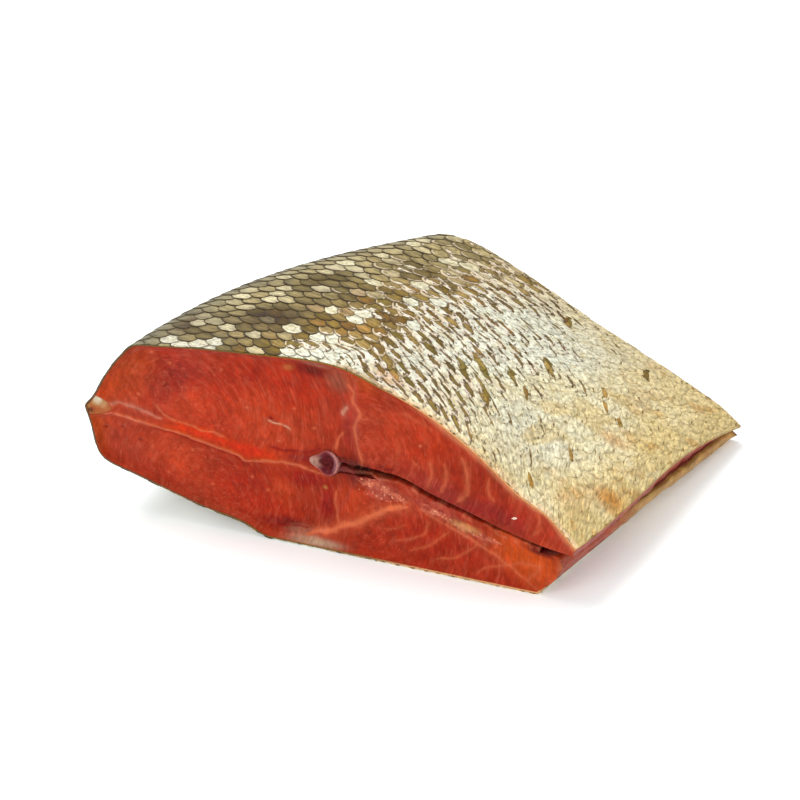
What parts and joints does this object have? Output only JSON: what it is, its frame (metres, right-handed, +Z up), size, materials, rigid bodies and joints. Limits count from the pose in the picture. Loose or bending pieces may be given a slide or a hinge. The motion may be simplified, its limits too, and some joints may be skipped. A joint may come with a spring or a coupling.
{
  "type": "cold-smoked salmon piece",
  "caption": "Chunk cut crosswise from a gutted smoked fish, lying on its side, with scaly skin, bone and open belly slit.",
  "frame": {"origin": "middle of the footprint, on the surface that the piece lies on", "axes": "+X from the back of the fish to its belly, +Y from the near cut to the far cut, +Z up"},
  "size_m": [0.1695, 0.104, 0.0615],
  "materials": {
    "skin": "scaly, satin, silvery flank and olive back",
    "flesh": "moist, glossy, translucent",
    "bone": "satin",
    "cartilage": "satin, fatty"
  },
  "bodies": {
    "root": {"skin": "skin", "flesh": "flesh", "backbone": "bone", "fin_root": "cartilage"}
  },
  "joints": []
}
